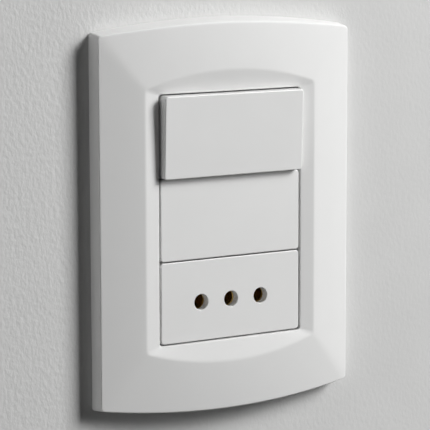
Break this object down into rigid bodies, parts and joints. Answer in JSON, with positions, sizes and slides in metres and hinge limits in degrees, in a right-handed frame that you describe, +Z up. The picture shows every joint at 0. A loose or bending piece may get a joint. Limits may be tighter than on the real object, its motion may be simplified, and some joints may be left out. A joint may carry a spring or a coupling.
{
  "type": "switch and socket combination",
  "caption": "Flush wall combination of a rocker switch, a blank and a socket for round pins in line, behind a crowned cover plate with arched ends.",
  "frame": {"origin": "middle of the row of modules, in the plane of the wall", "axes": "+X to the right as seen from the room, +Y into the wall, +Z up"},
  "size_m": [0.0802, 0.032, 0.1076],
  "materials": {
    "plate_plastic": "satin",
    "module_plastic": "satin",
    "frame_plastic": "moulded",
    "base_plastic": "moulded",
    "rocker_plastic": "moulded",
    "contact_brass": "stamped",
    "steel": "zinc plated"
  },
  "bodies": {
    "root": {"cover_plate": "plate_plastic", "mounting_frame": "frame_plastic", "fixing_screws": "steel", "blank_module": "module_plastic", "socket_housing": "module_plastic", "socket_base": "base_plastic", "left_pin_contact": "contact_brass", "earth_pin_contact": "contact_brass", "right_pin_contact": "contact_brass", "socket_clamp_plates": "steel", "socket_terminal_screws": "steel", "switch_housing": "module_plastic", "switch_base": "base_plastic", "common_terminal": "contact_brass", "upper_fixed_contact": "contact_brass", "lower_fixed_contact": "contact_brass", "switch_clamp_plates": "steel", "switch_terminal_screws": "steel"},
    "rocker": {"switch_key": "module_plastic", "switch_rocker": "rocker_plastic", "rocker_plunger": "rocker_plastic", "plunger_spring": "steel"},
    "contact": {"moving_contact": "contact_brass"}
  },
  "joints": [
    {"name": "rocker_hinge", "type": "hinge", "parent": "root", "child": "rocker", "pos_m": [0, -0.0026, 0.0225], "axis": [1, 0, 0], "range_deg": [-4.5, 0]},
    {"name": "contact_hinge", "type": "hinge", "parent": "root", "child": "contact", "pos_m": [0, 0.00825, 0.0225], "axis": [1, 0, 0], "range_deg": [0, 12.1]}
  ],
  "couplings": [
    {"joint": "contact_hinge", "follows": "rocker_hinge", "ratio": -2.6667}
  ]
}
